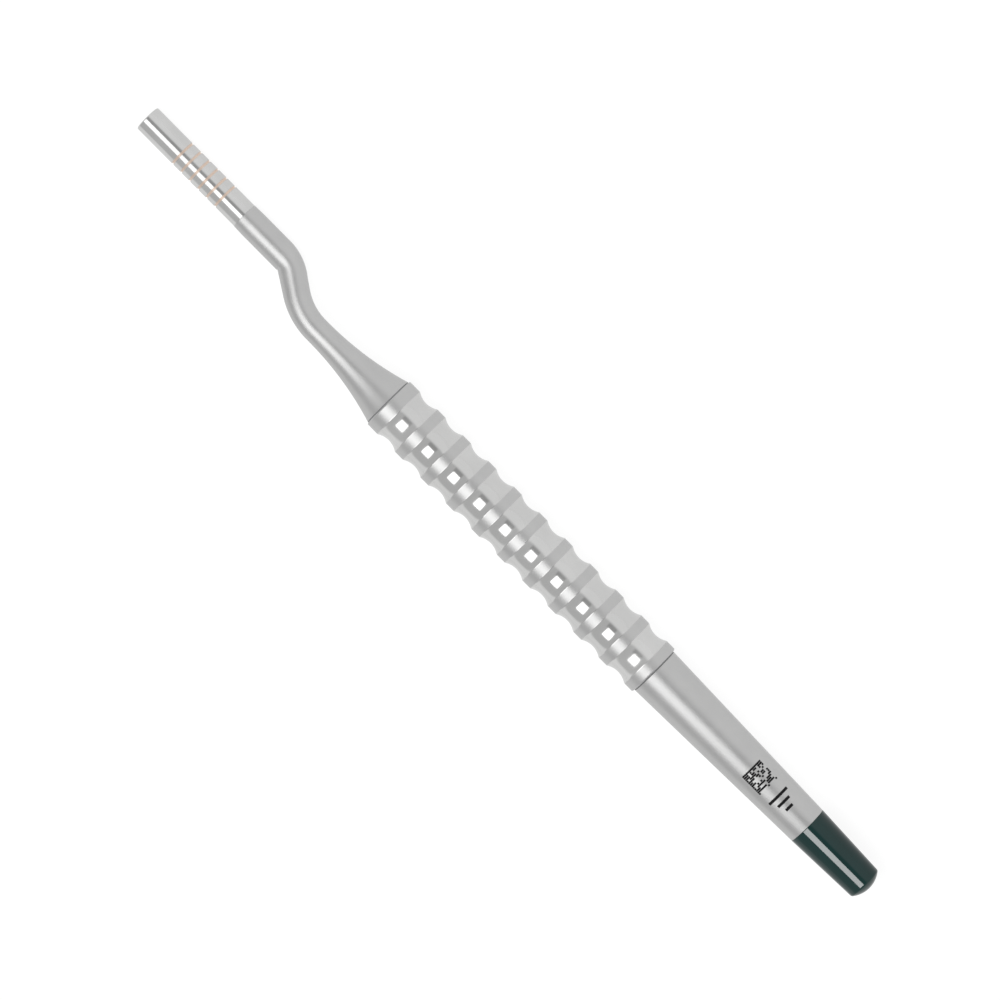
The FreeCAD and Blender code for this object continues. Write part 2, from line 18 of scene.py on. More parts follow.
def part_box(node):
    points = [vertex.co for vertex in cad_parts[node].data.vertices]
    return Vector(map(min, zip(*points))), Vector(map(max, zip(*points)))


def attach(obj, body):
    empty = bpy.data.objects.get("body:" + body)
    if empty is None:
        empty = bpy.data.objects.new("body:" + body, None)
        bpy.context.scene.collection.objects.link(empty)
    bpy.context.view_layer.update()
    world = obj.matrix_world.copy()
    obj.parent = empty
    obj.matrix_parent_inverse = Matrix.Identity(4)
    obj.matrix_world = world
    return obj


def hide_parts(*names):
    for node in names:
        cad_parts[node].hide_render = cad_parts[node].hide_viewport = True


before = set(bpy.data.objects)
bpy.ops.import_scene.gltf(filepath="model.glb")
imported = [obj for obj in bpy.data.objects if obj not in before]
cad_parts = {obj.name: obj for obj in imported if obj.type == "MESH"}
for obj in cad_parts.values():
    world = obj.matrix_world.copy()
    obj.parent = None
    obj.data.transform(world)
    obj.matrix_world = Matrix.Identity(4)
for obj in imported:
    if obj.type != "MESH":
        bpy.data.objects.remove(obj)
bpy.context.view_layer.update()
MM = 0.001
print("nodes:", ", ".join(sorted(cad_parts)))

# %% [markdown]
# ## Two axes and one offset
#
# The handle turns about one axis and the working tip about another, parallel to it. Both can be
# read from the boxes of round parts, because the middle of such a box lies on its axis. The step
# from one axis to the other is the bayonet's offset, and its direction also tells how far the
# instrument has rolled on the table.


# %% Read the axes from the frame
def middle(node):
    low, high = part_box(node)
    return (low + high) / 2


handle = Vector((0, middle("grip_sleeve").y, middle("grip_sleeve").z))
tip_axis = Vector((0, middle("working_tip").y, middle("working_tip").z))
OFFSET = (tip_axis - handle).length
AWAY = (tip_axis - handle).normalized()
FORWARD = Vector((1, 0, 0))
FACE_ON = AWAY.cross(FORWARD)

GRIP_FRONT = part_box("grip_sleeve")[1].x
GRIP_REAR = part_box("grip_sleeve")[0].x
CONE_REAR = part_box("front_seal")[1].x
TIP_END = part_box("working_tip")[1].x
CAP_REAR, TAIL_REAR = (corner.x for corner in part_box("strike_cap"))
TAIL_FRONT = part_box("rear_seal")[0].x
print(f"offset {OFFSET / MM:.2f} mm, grip {(GRIP_FRONT - GRIP_REAR) / MM:.1f} mm long")

# %% [markdown]
# ## A lathe
#
# Nearly every part is a turned part: an outline spun about an axis. Blender has a Screw modifier
# and a Spin tool for that, but a short function of our own gives us rings exactly where we want
# them: close together round an edge, and far apart along a plain cylinder. The outline is a list of
# points (distance along the axis, radius), and a radius of nought closes the end with a fan.
#
# The shank isn't straight, so the lathe asks a *path* where each ring sits, which way it faces, and
# how much it leans over. For straight parts the path is simply an axis, and nothing leans.

# %% The lathe
SEGMENTS = 144


def along_handle(s):
    """Centre, direction and lean at distance s, for parts on the handle's axis: s is X."""
    return handle + FORWARD * s, FORWARD, Vector()


def along_tip(s):
    return tip_axis + FORWARD * s, FORWARD, Vector()


def ring_points(s, radius, path):
    centre, direction, lean = path(s)
    side = FACE_ON
    up = direction.cross(side) + lean
    if radius < 1e-9:
        return [centre]
    turns = (2 * math.pi * k / SEGMENTS for k in range(SEGMENTS))
    return [centre + side * (radius * math.cos(a)) + up * (radius * math.sin(a)) for a in turns]


def bridge(first, second):
    """Faces between two rings of vertex numbers. A ring of one vertex is a pole."""
    faces = []
    for k in range(SEGMENTS):
        after = (k + 1) % SEGMENTS
        if len(first) == 1:
            faces.append((first[0], second[after], second[k]))
        elif len(second) == 1:
            faces.append((first[k], first[after], second[0]))
        else:
            faces.append((first[k], first[after], second[after], second[k]))
    return faces


def turn(name, outline, path=along_handle, loop=False):
    """Spins an outline into a closed mesh. A loop joins the last point to the first: a tube."""
    points, rings, faces = [], [], []
    for s, radius in outline:
        ring = ring_points(s, radius, path)
        rings.append(list(range(len(points), len(points) + len(ring))))
        points += ring
    pairs = list(zip(rings, rings[1:]))
    if loop:
        pairs.append((rings[-1], rings[0]))
    for first, second in pairs:
        faces += bridge(first, second)
    mesh = bpy.data.meshes.new(name)
    mesh.from_pydata(points, [], faces)
    tidy_mesh(mesh)
    piece = bpy.data.objects.new(name, mesh)
    bpy.context.scene.collection.objects.link(piece)
    return piece


# %% [markdown]
# A mesh made by hand has to be finished: its faces should all look outwards, and its shading
# should be smooth except over real corners. `set_sharp_from_angle` marks those corners.

# %% Finish a mesh
import bmesh

CORNER = math.radians(32)


def tidy_mesh(mesh):
    work = bmesh.new()
    work.from_mesh(mesh)
    bmesh.ops.recalc_face_normals(work, faces=work.faces)
    work.to_mesh(mesh)
    work.free()
    mesh.shade_smooth()
    mesh.set_sharp_from_angle(angle=CORNER)


# %% [markdown]
# ## Outlines with rounded corners
#
# No machined edge is perfectly sharp: a small rounding catches the light as a thin bright line, and
# without it a part looks like a drawing. `outline` takes corners (along, radius, rounding) and
# replaces each rounding by a short arc. It also puts a ring just beside each arc, so that smooth
# shading can't smear the arc's light over the flat surface next to it.

# %% Outlines
ARC_STEPS = 7
HOLD = 0.04 * MM
LONGEST = 1.6 * MM


def rounded_corner(before, corner, after, rounding):
    """Points of an arc that replaces a corner of the outline."""
    here = Vector(corner)
    back = (Vector(before) - here).normalized()
    on = (Vector(after) - here).normalized()
    half = back.angle(on) / 2
    reach = rounding / math.tan(half)
    centre = here + (back + on).normalized() * (rounding / math.sin(half))
    start = here + back * reach - centre
    sweep = start.angle_signed(here + on * reach - centre)
    arc = []
    for k in range(ARC_STEPS + 1):
        arc.append(centre + Matrix.Rotation(-sweep * k / ARC_STEPS, 2) @ start)
    return arc


def subdivide(points):
    """Adds holding rings beside short stretches and even rings along the long ones."""
    full = [points[0]]
    for start, end in zip(points, points[1:]):
        length = (end - start).length
        if length > 4 * HOLD:
            step = (end - start) / length
            inner = length - 2 * HOLD
            count = max(1, math.ceil(inner / LONGEST))
            full += [start + step * (HOLD + inner * k / count) for k in range(count + 1)]
        full.append(end)
    return full


def outline(corners, closed=False):
    """Corners (along, radius) or (along, radius, rounding), in metres, as points for the lathe."""
    points = []
    last = len(corners) - 1
    for i, corner in enumerate(corners):
        rounding = corner[2] if len(corner) == 3 else 0
        before, after = corners[i - 1][:2], corners[(i + 1) % len(corners)][:2]
        if rounding and (closed or 0 < i < last):
            points += rounded_corner(before, corner[:2], after, rounding)
        else:
            points.append(Vector(corner[:2]))
    if closed:
        points.append(points[0])
    points = subdivide(points)
    return points[:-1] if closed else points


def arc(centre, radius, start, end, count=16):
    """Points on a circle of the outline, from one angle to another, in degrees."""
    angles = (math.radians(start + (end - start) * k / count) for k in range(count + 1))
    return [Vector(centre) + radius * Vector((math.cos(a), math.sin(a))) for a in angles]


def bowl_radius(half_width, height):
    """Radius of the circle that rises by height over half a chord."""
    return (half_width**2 + height**2) / (2 * height)


# %% [markdown]
# ## The working tip
#
# A polished bar with a dished end and six depth grooves. The dish is an arc of the outline, and
# each groove is four corners of it, repeated by a loop: the grooves are cut, not painted, so they
# notch the silhouette as well.

# %% Turn the working tip
tip_low, tip_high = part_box("working_tip")
TIP_RADIUS = (tip_high.z - tip_low.z) / 2
mark_low, mark_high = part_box("depth_mark_enamel")
MARK_COUNT = 6
MARK_PITCH = 2 * MM
MARK_WIDTH = mark_high.x - mark_low.x - (MARK_COUNT - 1) * MARK_PITCH
MARK_DEPTH = 0.2 * MM
MARK_FLOOR = TIP_RADIUS - MARK_DEPTH
EDGE = 0.03 * MM
TIP_EDGE = 0.15 * MM
SHOULDER = TIP_END - 23 * MM
SPIGOT_RADIUS = 1.5 * MM
DISH_RADIUS, DISH_DEPTH = 1.95 * MM, 0.5 * MM

marks = [mark_high.x - MARK_WIDTH / 2 - k * MARK_PITCH for k in range(MARK_COUNT)]
tip_corners = [
    (TIP_END, DISH_RADIUS, TIP_EDGE / 2),
    (TIP_END, TIP_RADIUS - TIP_EDGE, TIP_EDGE / 2),
    (TIP_END - TIP_EDGE, TIP_RADIUS, TIP_EDGE / 2),
]
for place in marks:
    front, rear = place + MARK_WIDTH / 2, place - MARK_WIDTH / 2
    tip_corners += [
        (front, TIP_RADIUS, EDGE),
        (front, MARK_FLOOR, EDGE),
        (rear, MARK_FLOOR, EDGE),
        (rear, TIP_RADIUS, EDGE),
    ]
tip_corners += [
    (SHOULDER, TIP_RADIUS, EDGE),
    (SHOULDER, SPIGOT_RADIUS),
    (tip_low.x, SPIGOT_RADIUS),
    (tip_low.x, 0),
]
DISH_CURVE = bowl_radius(DISH_RADIUS, DISH_DEPTH)
DISH_ANGLE = math.degrees(math.asin(DISH_RADIUS / DISH_CURVE))
dish = arc((TIP_END - DISH_DEPTH + DISH_CURVE, 0), DISH_CURVE, 180, 180 - DISH_ANGLE)
dish[0].y = 0
tip = turn("tip_polished", dish[:-1] + outline(tip_corners), along_tip)
print(f"tip {2 * TIP_RADIUS / MM:.2f} mm thick, {len(tip.data.polygons)} faces")

# %% [markdown]
# The colour in the grooves is a film that wets the floor and climbs both walls, so it is turned as
# a thin channel and not as a plain ring. All six channels are one piece, as they are one finish.

# %% Turn the colour in the depth grooves
FILM = 0.03 * MM


def join(name, parts):
    """Makes one piece of several, and removes the parts."""
    work = bmesh.new()
    for part in parts:
        work.from_mesh(part.data)
        bpy.data.objects.remove(part)
    mesh = bpy.data.meshes.new(name)
    work.to_mesh(mesh)
    work.free()
    tidy_mesh(mesh)
    piece = bpy.data.objects.new(name, mesh)
    bpy.context.scene.collection.objects.link(piece)
    return piece


channels = []
for place in marks:
    front, rear = place + MARK_WIDTH / 2, place - MARK_WIDTH / 2
    rim = TIP_RADIUS - EDGE
    channel = outline([
        (front, rim), (front, MARK_FLOOR), (rear, MARK_FLOOR), (rear, rim),
        (rear + FILM, rim), (rear + FILM, MARK_FLOOR + FILM),
        (front - FILM, MARK_FLOOR + FILM), (front - FILM, rim),
    ], closed=True)
    channels.append(turn("channel", channel, along_tip, loop=True))
enamel = join("depth_mark_colour", channels)
print(f"{MARK_COUNT} depth marks, {MARK_PITCH / MM:.0f} mm apart")

# %% [markdown]
# ## The bayonet shank
#
# The shank leaves the handle's axis in one bend and comes back parallel to it in another. A Curve
# object with a bevel could make it, but its radius would be hard to control. Our lathe only needs a
# path: straight, arc, slope, arc, straight. Each stretch has a length and a turn, and walking along
# them gives the place and direction of every ring. The slope and the offset fix the rest.
#
# A rod that is bent over a block takes the block's tight corner on its inner side, while its outer
# side stretches into a wide curve. The bend nearest to the tip shows this well. The *lean* makes
# it: the rings there fan out more than a plain bend would ask, so that the inner side comes almost
# to a corner, while the outer side turns with a radius of 10 mm.

# %% Walk along the shank
SLOPE = math.radians(33.5)
LOW_RADIUS = 12 * MM
HIGH_RADIUS = 5 * MM
FAN = 0.95
LEAN_FADE = 2.2 * MM
BEND_MIDDLE = CONE_REAR + 24.3 * MM
low_tangent = LOW_RADIUS * math.tan(SLOPE / 2)
high_tangent = HIGH_RADIUS * math.tan(SLOPE / 2)
BEND_START = BEND_MIDDLE - OFFSET / 2 / math.tan(SLOPE) - low_tangent
BEND_END = BEND_MIDDLE + OFFSET / 2 / math.tan(SLOPE) + high_tangent
slope_length = OFFSET / math.sin(SLOPE) - low_tangent - high_tangent
STRETCHES = [(LOW_RADIUS * SLOPE, SLOPE), (slope_length, 0), (HIGH_RADIUS * SLOPE, -SLOPE)]
HIGH_BEND = LOW_RADIUS * SLOPE + slope_length
WALK = HIGH_BEND + HIGH_RADIUS * SLOPE
DETOUR = WALK - (BEND_END - BEND_START)


def outwards(heading):
    """The direction across the shank, in the plane of the bayonet."""
    return AWAY * math.cos(heading) - FORWARD * math.sin(heading)


def along_shank(s):
    """Walks the bayonet: s is X up to the first bend, and grows with the way after it."""
    place, heading = handle + FORWARD * min(s, BEND_START), 0.0
    walked = max(0.0, s - BEND_START)
    left = walked
    for length, turned in STRETCHES + [(math.inf, 0)]:
        way = min(left, length)
        if turned:
            radius = length / turned
            after = heading + way / radius
            place = place + FORWARD * radius * (math.sin(after) - math.sin(heading))
            place = place + AWAY * radius * (math.cos(heading) - math.cos(after))
            heading = after
        else:
            place = place + (FORWARD * math.cos(heading) + AWAY * math.sin(heading)) * way
        left -= way
    beside = max(HIGH_BEND - walked, walked - WALK, 0.0)
    strength = FAN * max(0.0, 1 - beside / LEAN_FADE)
    lean = (outwards(heading) - outwards(SLOPE / 2) / math.cos(SLOPE / 2)) * strength
    return place, FORWARD * math.cos(heading) + AWAY * math.sin(heading), lean


end_place = along_shank(SHOULDER + DETOUR)[0]
print(f"the walk ends {(end_place - tip_axis).y / MM:+.3f} mm beside the tip's axis")

# %% [markdown]
# The cone in front of the grip isn't a cone at all but a flare: one large arc, tangent to the neck.
# From the neck to the tip the rod swells by half a millimetre, most of it after the second bend.

# %% Turn the shank
NECK_RADIUS = 2.285 * MM
SHANK_RADIUS = 2.51 * MM
NOSE_RADIUS = 2.45 * MM
CONE_RADIUS = 4.71 * MM
NECK = CONE_REAR + 16.45 * MM
STUD_RADIUS = 2.73 * MM
STUD_REAR = CONE_REAR - 14 * MM
HOLE_RADIUS = 1.52 * MM
HOLE_DEPTH = 9.5 * MM
HOLE_POINT = 0.5 * MM
NOSE_LENGTH = 1.9 * MM
NOSE_ROUND = 0.8 * MM
BEND_STEP = 0.3 * MM
FLARE_STEPS = 40
SWELL = 4

FLARE_CURVE = bowl_radius(NECK - CONE_REAR, CONE_RADIUS - NECK_RADIUS)
CONE_EDGE = 0.05 * MM
FLARE_ANGLE = math.degrees(math.asin((NECK - CONE_REAR - CONE_EDGE) / FLARE_CURVE))
flare = arc((NECK, NECK_RADIUS + FLARE_CURVE), FLARE_CURVE, 270 - FLARE_ANGLE, 270, FLARE_STEPS)
rear_end = outline([
    (STUD_REAR + HOLE_DEPTH + HOLE_POINT, 0),
    (STUD_REAR + HOLE_DEPTH, HOLE_RADIUS),
    (STUD_REAR, HOLE_RADIUS),
    (STUD_REAR, STUD_RADIUS),
    (CONE_REAR, STUD_RADIUS),
    (CONE_REAR, CONE_RADIUS - CONE_EDGE, EDGE),
    tuple(flare[0]),
])
pipe_length = BEND_END + DETOUR - NECK
steps = math.ceil(pipe_length / BEND_STEP)
bend = [
    Vector((
        NECK + pipe_length * k / steps,
        NECK_RADIUS + (SHANK_RADIUS - NECK_RADIUS) * (k / steps) ** SWELL,
    ))
    for k in range(1, steps + 1)
]
nose = outline([
    (BEND_END + DETOUR + BEND_STEP, SHANK_RADIUS),
    (SHOULDER + DETOUR - NOSE_LENGTH, SHANK_RADIUS, NOSE_ROUND),
    (SHOULDER + DETOUR, NOSE_RADIUS, EDGE),
    (SHOULDER + DETOUR, SPIGOT_RADIUS),
    (tip_low.x + DETOUR, SPIGOT_RADIUS),
    (tip_low.x + DETOUR, 0),
])
shank = turn("shank_satin", rear_end[:-1] + flare + bend + nose, along_shank)
print(f"shank turned from {len(rear_end) + len(flare) + len(bend) + len(nose)} rings")

# %% [markdown]
# ## The grip
#
# Eleven rings with ten finger hollows between them. Each hollow is a concave arc, and it meets the
# ring in a small rounding. That rounding touches a line and a circle at once: its centre is one
# rounding below the ring's surface, and one rounding further from the hollow's centre than the
# hollow itself. That gives it a formula, so a loop can place all twenty.

# %% Turn the grip sleeve
RING_RADIUS = (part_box("grip_sleeve")[1].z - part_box("grip_sleeve")[0].z) / 2
RING_PITCH = 6.03 * MM
HOLLOW_COUNT = 10
HOLLOW_WIDTH = 4.04 * MM
HOLLOW_DEPTH = 0.61 * MM
COLLAR_WIDTH = 2.48 * MM
RING_ROUND = 0.25 * MM
BORE = 2.75 * MM

HOLLOW_CURVE = bowl_radius(HOLLOW_WIDTH / 2, HOLLOW_DEPTH)
HOLLOW_CENTRE = RING_RADIUS - HOLLOW_DEPTH + HOLLOW_CURVE
round_rise = HOLLOW_CENTRE - (RING_RADIUS - RING_ROUND)
round_reach = math.sqrt((HOLLOW_CURVE + RING_ROUND) ** 2 - round_rise**2)
meeting = math.degrees(math.atan2(round_reach, round_rise))


def hollow(middle_x):
    """Outline of one hollow, from its front ring to its rear ring."""
    front = (middle_x + round_reach, RING_RADIUS - RING_ROUND)
    rear = (middle_x - round_reach, RING_RADIUS - RING_ROUND)
    return (
        arc(front, RING_ROUND, 90, 90 + meeting, 5)
        + arc((middle_x, HOLLOW_CENTRE), HOLLOW_CURVE, 270 + meeting, 270 - meeting, 22)[1:-1]
        + arc(rear, RING_ROUND, 90 - meeting, 90, 5)
    )


hollows = [
    GRIP_FRONT - COLLAR_WIDTH - HOLLOW_WIDTH / 2 - k * RING_PITCH for k in range(HOLLOW_COUNT)
]
grip_corners = [(GRIP_FRONT, BORE), (GRIP_FRONT, RING_RADIUS, RING_ROUND)]
surface = outline(grip_corners + [(hollows[0] + round_reach, RING_RADIUS)])[:-1]
for place in hollows:
    if place != hollows[0]:
        surface += subdivide([surface[-1], Vector((place + round_reach, RING_RADIUS))])[1:-1]
    surface += hollow(place)
surface += outline([
    (hollows[-1] - round_reach, RING_RADIUS),
    (GRIP_REAR, RING_RADIUS, RING_ROUND),
    (GRIP_REAR, BORE),
    (GRIP_FRONT, BORE),
])[1:-1]
grip = turn("grip_ringed", surface, loop=True)
print(f"grip: {HOLLOW_COUNT} hollows of radius {HOLLOW_CURVE / MM:.2f} mm")

# %% [markdown]
# ## Tail, cap and seals
#
# The tail is a long taper with a stud that reaches into the grip and a neck that reaches into the
# cap. The cap tapers on and ends in a low dome with a rounded rim. The two flat seals at the ends
# of the grip show only as thin dark lines, but those lines are what makes the handle look
# assembled and not cast.

# %% Turn the tail, the cap and the seals
TAIL_RADIUS = 4.55 * MM
TAIL_END_RADIUS = 3.625 * MM
TAIL_BORE = 2.05 * MM
TAIL_STUD = 8 * MM
CAP_NECK_RADIUS = 2.7 * MM
CAP_NECK = 5 * MM
CAP_RADIUS = 3.65 * MM
CAP_END_RADIUS = 3.11 * MM
DOME_HEIGHT = 1.15 * MM
CAP_BORE = 2.73 * MM
CAP_BORE_DEPTH = 9.4 * MM
SEAL_INSET = 0.02 * MM
TAIL_ROUND = 0.12 * MM
SKIRT_ROUND = 0.1 * MM
RIM_WIDTH = 0.45 * MM
DOME_STEPS = 18

tail = turn("tail_satin", outline([
    (TAIL_FRONT + TAIL_STUD, TAIL_BORE),
    (TAIL_FRONT + TAIL_STUD, STUD_RADIUS),
    (TAIL_FRONT, STUD_RADIUS),
    (TAIL_FRONT, TAIL_RADIUS, TAIL_ROUND),
    (TAIL_REAR, TAIL_END_RADIUS, EDGE),
    (TAIL_REAR, CAP_NECK_RADIUS),
    (TAIL_REAR - CAP_NECK, CAP_NECK_RADIUS),
    (TAIL_REAR - CAP_NECK, TAIL_BORE),
], closed=True), loop=True)

DOME_CURVE = bowl_radius(CAP_END_RADIUS, DOME_HEIGHT)
DOME_ROUND = 0.5 * MM
rim_angle = math.degrees(math.asin((CAP_END_RADIUS - RIM_WIDTH) / DOME_CURVE))
dome = arc((CAP_REAR + DOME_CURVE, 0), DOME_CURVE, 180 - rim_angle, 180, DOME_STEPS)
dome[-1].y = 0
cap_side = outline([
    (TAIL_REAR - CAP_BORE_DEPTH, 0),
    (TAIL_REAR - CAP_BORE_DEPTH, CAP_BORE),
    (TAIL_REAR, CAP_BORE),
    (TAIL_REAR, CAP_RADIUS, SKIRT_ROUND),
    (CAP_REAR + DOME_HEIGHT, CAP_END_RADIUS, DOME_ROUND),
    tuple(dome[0]),
])
cap = turn("cap_green_gloss", cap_side[:-1] + dome)


def washer(name, node, radius):
    low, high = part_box(node)
    corners = [(high.x, BORE), (high.x, radius), (low.x, radius), (low.x, BORE)]
    return turn(name, outline(corners, closed=True), loop=True)


front_seal = washer("seal_line_front", "front_seal", CONE_RADIUS - SEAL_INSET)
rear_seal = washer("seal_line_rear", "rear_seal", TAIL_RADIUS - SEAL_INSET)
print(f"dome radius {DOME_CURVE / MM:.2f} mm, seals {(CONE_REAR - GRIP_FRONT) / MM:.2f} mm thick")

# %% [markdown]
# ## A generic mark
#
# Such instruments carry a laser mark near the cap. Ours is a plain block code with three bars, and
# spells nothing. Laser marks are a fraction of a hair thick, so each dark cell is a thin curved tile
# that follows the taper and stands 0.01 mm proud. Real geometry keeps its edges crisp however close
# the camera comes, which a painted texture would not.

# %% Build the laser mark
MARK_CELLS = 12
MARK_CELL = 0.36 * MM
CELL_LENGTH = 0.9 * MARK_CELL
BAR_LENGTH = 0.5 * MM
MARK_START = TAIL_REAR + 13.6 * MM
MARK_PROUD = 0.01 * MM
MARK_ROOT = 0.03 * MM
MARK_BARS = [(6.6 * MM, 1.0), (7.9 * MM, 0.62), (9.2 * MM, 0.36)]


def tail_radius(x):
    share = (x - TAIL_REAR) / (TAIL_FRONT - TAIL_REAR)
    return TAIL_END_RADIUS + (TAIL_RADIUS - TAIL_END_RADIUS) * share


def on_tail(x, across, lift):
    """A point of the tail's surface, at a distance across from the line that faces the camera."""
    radius = tail_radius(x)
    angle = across / radius
    radial = FACE_ON * math.cos(angle) + AWAY * math.sin(angle)
    return handle + FORWARD * x + radial * (radius + lift)


def tile(work, x, across, length, width):
    """A tile made of flat strips, each no wider than a cell, so that it follows the tail."""
    pieces = max(1, math.ceil(width / MARK_CELL))
    columns = []
    for k in range(pieces + 1):
        side = across + width * (k / pieces - 0.5)
        columns.append([
            work.verts.new(on_tail(end, side, lift))
            for end, lift in (
                (x, -MARK_ROOT), (x - length, -MARK_ROOT), (x - length, MARK_PROUD), (x, MARK_PROUD)
            )
        ])
    for first, second in zip(columns, columns[1:]):
        for k in range(4):
            after = (k + 1) % 4
            work.faces.new((first[k], first[after], second[after], second[k]))
    work.faces.new(columns[0])
    work.faces.new(reversed(columns[-1]))


dice = random.Random(7)
work = bmesh.new()
for row in range(MARK_CELLS):
    start = None
    for column in range(MARK_CELLS + 1):
        border = row == 0 or column == 0
        dark = column < MARK_CELLS and (border or dice.random() < 0.5)
        if dark and start is None:
            start = column
        if not dark and start is not None:
            run = (column - start) * MARK_CELL
            middle_across = (start - MARK_CELLS / 2) * MARK_CELL + run / 2
            tile(work, MARK_START - row * MARK_CELL, middle_across, CELL_LENGTH, run)
            start = None
for distance, share in MARK_BARS:
    bar_width = MARK_CELLS * MARK_CELL * share
    tile(work, MARK_START + MARK_CELL - distance, 0, BAR_LENGTH, bar_width)
mesh = bpy.data.meshes.new("laser_mark")
work.to_mesh(mesh)
work.free()
tidy_mesh(mesh)
mark = bpy.data.objects.new("laser_mark", mesh)
bpy.context.scene.collection.objects.link(mark)
print(f"mark: {MARK_CELLS} by {MARK_CELLS} cells of {MARK_CELL / MM:.2f} mm")

# %% [markdown]
# ## Surface effects as node groups
#
# Three effects come back in several finishes, so each is a node group with its own slider, built
# once. A copy of the nodes in each material would work too, but then a change has to be made many
# times. All three read object coordinates, which are metres in the frame, so a grain is as large as
# we say. First come four small helpers that add nodes and link them.


# %% Helpers for node groups
def new_group(name, inputs, outputs):
    """A shader node group with float inputs {name: default} and float outputs."""
    group = bpy.data.node_groups.new(name, "ShaderNodeTree")
    for label, value in inputs.items():
        socket = group.interface.new_socket(label, in_out="INPUT", socket_type="NodeSocketFloat")
        socket.default_value = value
    for label in outputs:
        group.interface.new_socket(label, in_out="OUTPUT", socket_type="NodeSocketFloat")
    entry = group.nodes.new("NodeGroupInput")
    leave = group.nodes.new("NodeGroupOutput")
    return group, entry, leave


def add(tree, kind, values=None, **settings):
    """A node with its settings, and with values or links for its inputs."""
    node = tree.nodes.new("ShaderNode" + kind)
    for key, value in settings.items():
        setattr(node, key, value)
    for key, value in (values or {}).items():
        if isinstance(value, bpy.types.NodeSocket):
            tree.links.new(value, node.inputs[key])
        else:
            node.inputs[key].default_value = value
    return node


def maths(tree, operation, first, second=0.0):
    node = add(tree, "Math", {0: first, 1: second}, operation=operation)
    return node.outputs[0]


def spread(tree, value, low, high, to_low, to_high):
    """Stretches a value from one range to another, and clamps it."""
    sizes = {"Value": value, "From Min": low, "From Max": high, "To Min": to_low, "To Max": to_high}
    return add(tree, "MapRange", sizes).outputs["Result"]


# %% [markdown]
# *Blast grain* is the matt skin that glass beads hammer into steel, about nine dents to the
# millimetre. A second, much coarser noise gives the faint patches that hand blasting leaves.

# %% Blast grain
PATCHES_PER_MM = 0.35


def make_blast_grain():
    group, entry, leave = new_group("blast_grain", {"Grains per mm": 9.0}, ["Height", "Patches"])
    place = add(group, "TexCoord").outputs["Object"]
    scale = maths(group, "MULTIPLY", entry.outputs["Grains per mm"], 1 / MM)
    fine = add(group, "TexNoise", {"Vector": place, "Scale": scale, "Detail": 3.0})
    patches = add(group, "TexNoise", {"Vector": place, "Scale": PATCHES_PER_MM / MM, "Detail": 4.0})
    group.links.new(fine.outputs["Fac"], leave.inputs["Height"])
    group.links.new(patches.outputs["Fac"], leave.inputs["Patches"])
    return group


blast_grain = make_blast_grain()
print("node group:", blast_grain.name)


# %% [markdown]
# *Turning lines* are the fine rings that a lathe and a polishing belt leave round a part. A wave
# texture would make them all alike. Noise that changes fast along the axis and hardly at all
# across it makes them as uneven as real ones.

# %% Turning lines
CHANGES_PER_MM_ACROSS = 0.05


def make_turning_lines():
    group, entry, leave = new_group("turning_lines", {"Lines per mm": 12.0}, ["Height"])
    place = add(group, "TexCoord").outputs["Object"]
    parts = add(group, "SeparateXYZ", {0: place})
    scale = maths(group, "MULTIPLY", entry.outputs["Lines per mm"], 1 / MM)
    along = maths(group, "MULTIPLY", parts.outputs["X"], scale)
    round_y = maths(group, "MULTIPLY", parts.outputs["Y"], CHANGES_PER_MM_ACROSS / MM)
    round_z = maths(group, "MULTIPLY", parts.outputs["Z"], CHANGES_PER_MM_ACROSS / MM)
    stretched = add(group, "CombineXYZ", {"X": along, "Y": round_y, "Z": round_z})
    lines = add(group, "TexNoise", {"Vector": stretched.outputs[0], "Scale": 1.0, "Detail": 2.0})
    group.links.new(lines.outputs["Fac"], leave.inputs["Height"])
    return group


turning_lines = make_turning_lines()
print("node group:", turning_lines.name)


# %% [markdown]
# *Handling* is what use adds: soft smudges that dull the gloss a little, and a few hairline
# scratches. The scratches are the thin peaks of a stretched noise, and a second noise bends them,
# because straight ones look printed.

# %% Handling
SMUDGES_PER_MM = 0.16
DRIFTS_PER_MM = 0.12
DRIFT = 3 * MM
SCRATCH_TURN = (0.4, 0.7, 0.5)
SCRATCHES_PER_MM = (0.25, 6, 6)


def make_handling():
    group, entry, leave = new_group("handling", {"Scratch amount": 0.5}, ["Smudge", "Scratch"])
    place = add(group, "TexCoord").outputs["Object"]
    smudge = add(group, "TexNoise", {"Vector": place, "Scale": SMUDGES_PER_MM / MM, "Detail": 3.0})
    soft = spread(group, smudge.outputs["Fac"], 0.42, 0.68, 0.0, 1.0)
    drift = add(group, "TexNoise", {"Vector": place, "Scale": DRIFTS_PER_MM / MM, "Detail": 2.0})
    bent = add(group, "VectorMath", {0: drift.outputs["Color"], 1: (DRIFT, DRIFT, DRIFT)},
               operation="MULTIPLY")
    moved = add(group, "VectorMath", {0: place, 1: bent.outputs[0]}, operation="ADD")
    scale = [count / MM for count in SCRATCHES_PER_MM]
    turned = add(group, "Mapping", {"Vector": moved.outputs[0], "Rotation": SCRATCH_TURN,
                                    "Scale": scale})
    hair = add(group, "TexNoise", {"Vector": turned.outputs[0], "Scale": 1.0, "Detail": 1.0})
    thin = spread(group, hair.outputs["Fac"], 0.70, 0.74, 0.0, 1.0)
    scratch = maths(group, "MULTIPLY", thin, entry.outputs["Scratch amount"])
    group.links.new(soft, leave.inputs["Smudge"])
    group.links.new(scratch, leave.inputs["Scratch"])
    return group


handling = make_handling()
print("node group:", handling.name)

# %% [markdown]
# ## Finishes
#
# Steel is a metal: its colour lives in the reflection, so Metallic is 1 and Base Color is a light
# grey. The whole difference between the polished tip and the satin shank is roughness and relief.
# The starting value of each finish is set on the shader, and the groups only vary it.


